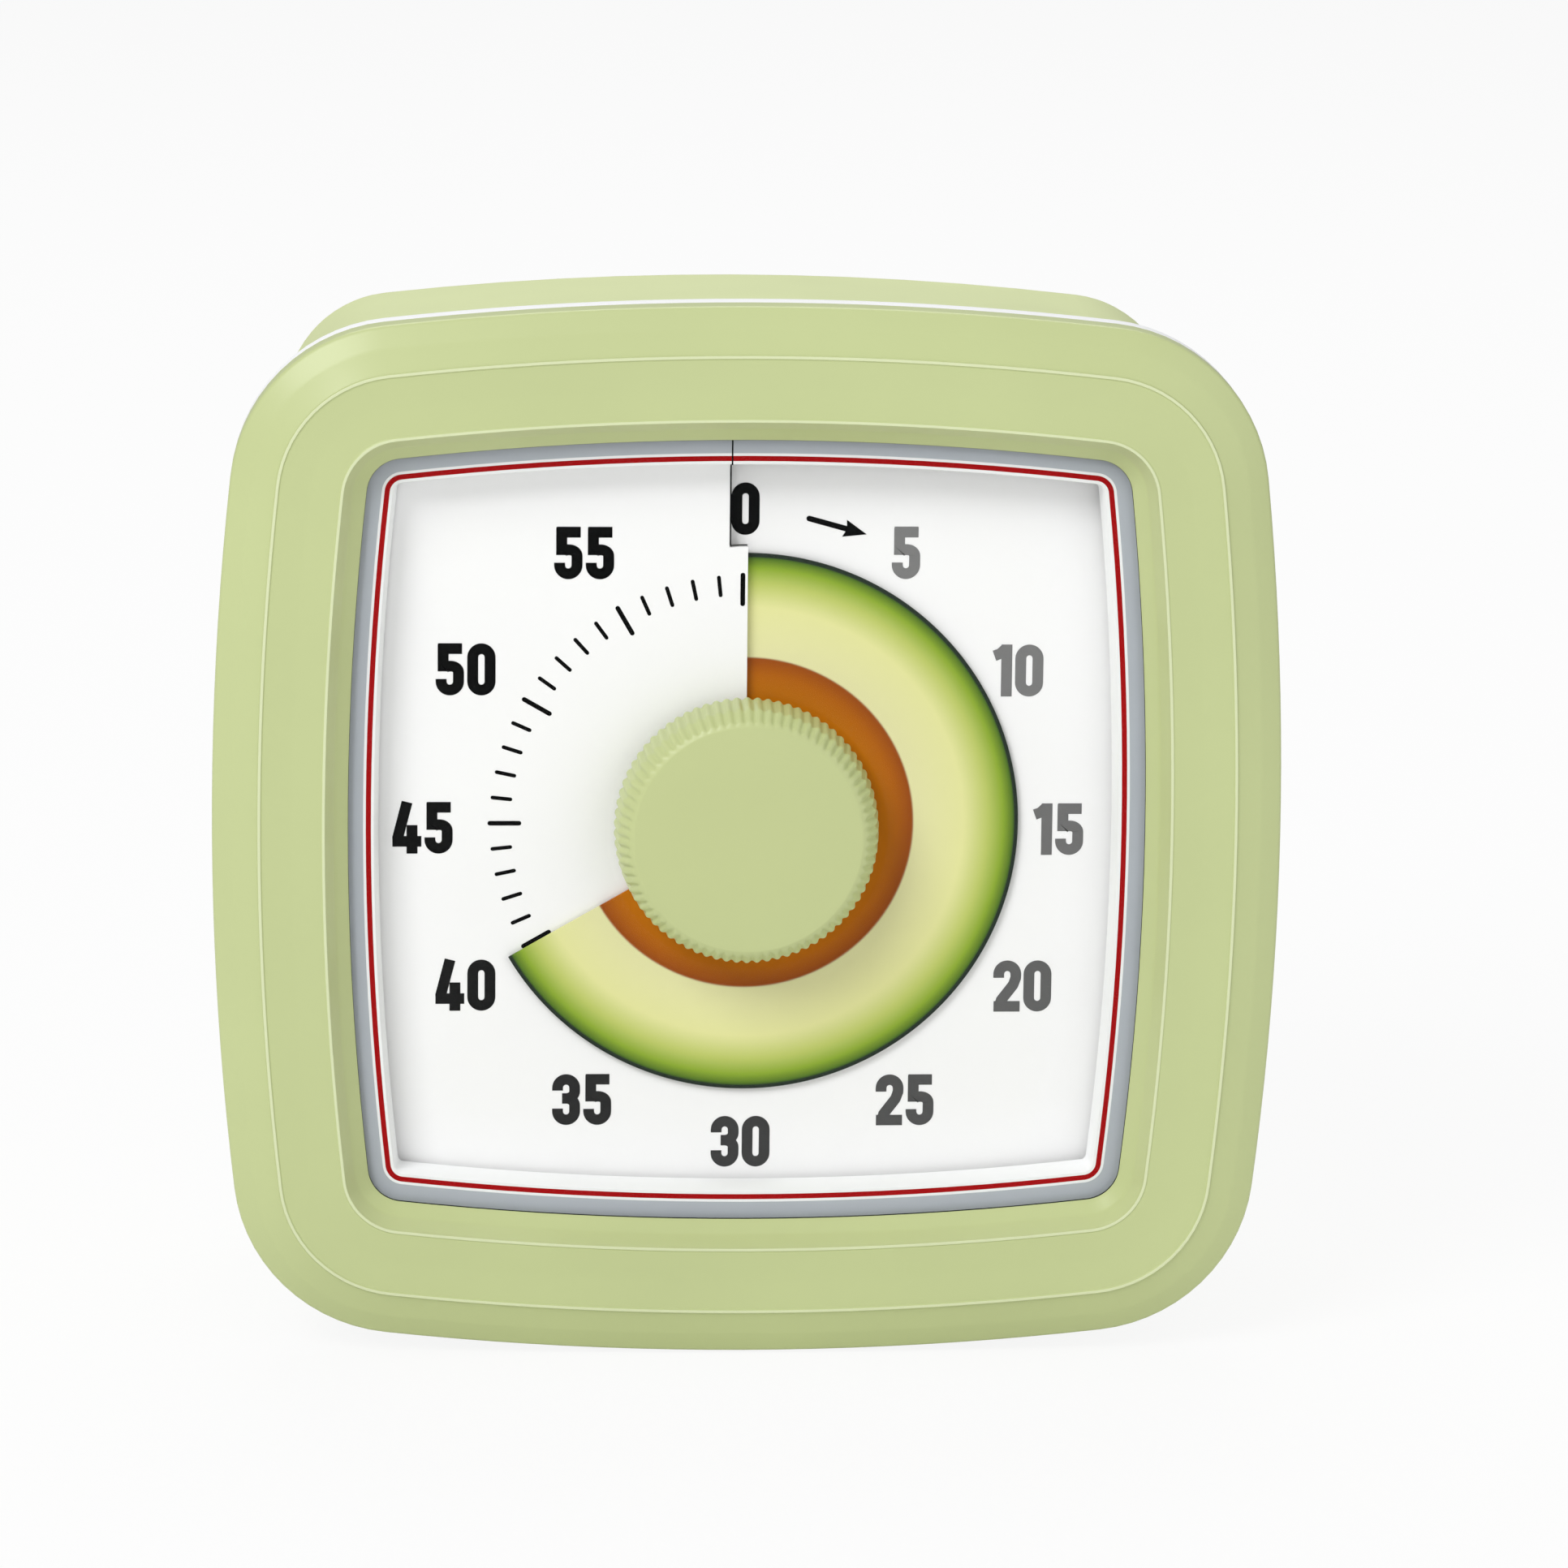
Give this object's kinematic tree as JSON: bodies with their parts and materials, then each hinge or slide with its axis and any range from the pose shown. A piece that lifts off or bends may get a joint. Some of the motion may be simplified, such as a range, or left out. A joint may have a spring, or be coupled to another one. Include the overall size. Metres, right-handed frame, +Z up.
{
  "type": "visual countdown timer",
  "caption": "Square barrel-sided countdown timer: stepped bezel, slit dial with a coloured film that winds out as a sector, fluted knob, wind-up movement with bell.",
  "frame": {"origin": "on the surface it stands on, under the middle of its outer box", "axes": "+Z up, the dial faces -Y, +X to the right as seen from the front"},
  "size_m": [0.086, 0.0472, 0.0862],
  "materials": {
    "bezel_green": "smooth moulded",
    "tray_white": "smooth moulded",
    "cover_green": "fine satin",
    "foot_rubber": "matte",
    "clear_lens": "clear plastic, polished",
    "surround_grey": "printed",
    "dial_white": "printed sheet",
    "film_print": "printed film",
    "hub_plastic": "moulded",
    "knob_green": "smooth moulded",
    "steel": "satin",
    "brass": "satin",
    "spring_steel": "blued",
    "bell_metal": "plated"
  },
  "bodies": {
    "case": {"bezel": "bezel_green", "dial_tray": "tray_white", "rear_cover": "cover_green", "foot_pads": "foot_rubber", "case_screws": "steel", "window_lens": "clear_lens", "dial_surround": "surround_grey", "dial_plate": "dial_white", "front_plate": "steel", "rear_plate": "steel", "pillars": "brass", "movement_screws": "steel", "mainspring": "spring_steel", "bell": "bell_metal", "bell_post": "steel", "bell_screw": "steel", "hammer_stud": "steel"},
    "winder": {"knob": "knob_green", "main_arbor": "steel", "main_wheel": "brass", "strike_cam": "brass"},
    "sector": {"sector_disc": "film_print", "sector_hub": "hub_plastic"},
    "second": {"second_pinion": "steel", "second_wheel": "brass"},
    "third": {"third_pinion": "steel", "third_wheel": "brass"},
    "escape": {"escape_pinion": "steel", "escape_wheel": "brass"},
    "balance": {"balance_staff": "steel", "balance_wheel": "brass"},
    "striker": {"hammer": "steel"}
  },
  "joints": [
    {"name": "knob_turn", "type": "hinge", "parent": "case", "child": "winder", "pos_m": [0, 0, 0.0432], "axis": [0, 1, 0], "range_deg": [-240, 120]},
    {"name": "film_advance", "type": "slide", "parent": "winder", "child": "sector", "axis": [0, -1, 0], "range_m": [-0.00081, 0.00041]},
    {"name": "second_turn", "type": "hinge", "parent": "case", "child": "second", "pos_m": [-0.0099, 0, 0.0333], "axis": [0, 1, 0], "range_deg": [-485, 965]},
    {"name": "third_turn", "type": "hinge", "parent": "case", "child": "third", "pos_m": [-0.01417, 0, 0.04505], "axis": [0, 1, 0], "range_deg": [-3845, 1925]},
    {"name": "escape_turn", "type": "hinge", "parent": "case", "child": "escape", "pos_m": [-0.00792, 0, 0.05587], "axis": [0, 1, 0], "range_deg": [-7685, 15365]},
    {"name": "balance_swing", "type": "hinge", "parent": "case", "child": "balance", "pos_m": [0.00579, 0, 0.05955], "axis": [0, 1, 0], "range_deg": [-40, 40]},
    {"name": "hammer_swing", "type": "hinge", "parent": "case", "child": "striker", "pos_m": [-0.02, 0, 0.0312], "axis": [0, 1, 0], "range_deg": [-8, 2], "stiffness_Nm_per_rad": 0.02, "springref_deg": -0.34}
  ],
  "couplings": [
    {"joint": "film_advance", "follows": "knob_turn", "m_per_rad": 0.00019099},
    {"joint": "second_turn", "follows": "knob_turn", "ratio": -4},
    {"joint": "third_turn", "follows": "knob_turn", "ratio": 16},
    {"joint": "escape_turn", "follows": "knob_turn", "ratio": -64}
  ]
}
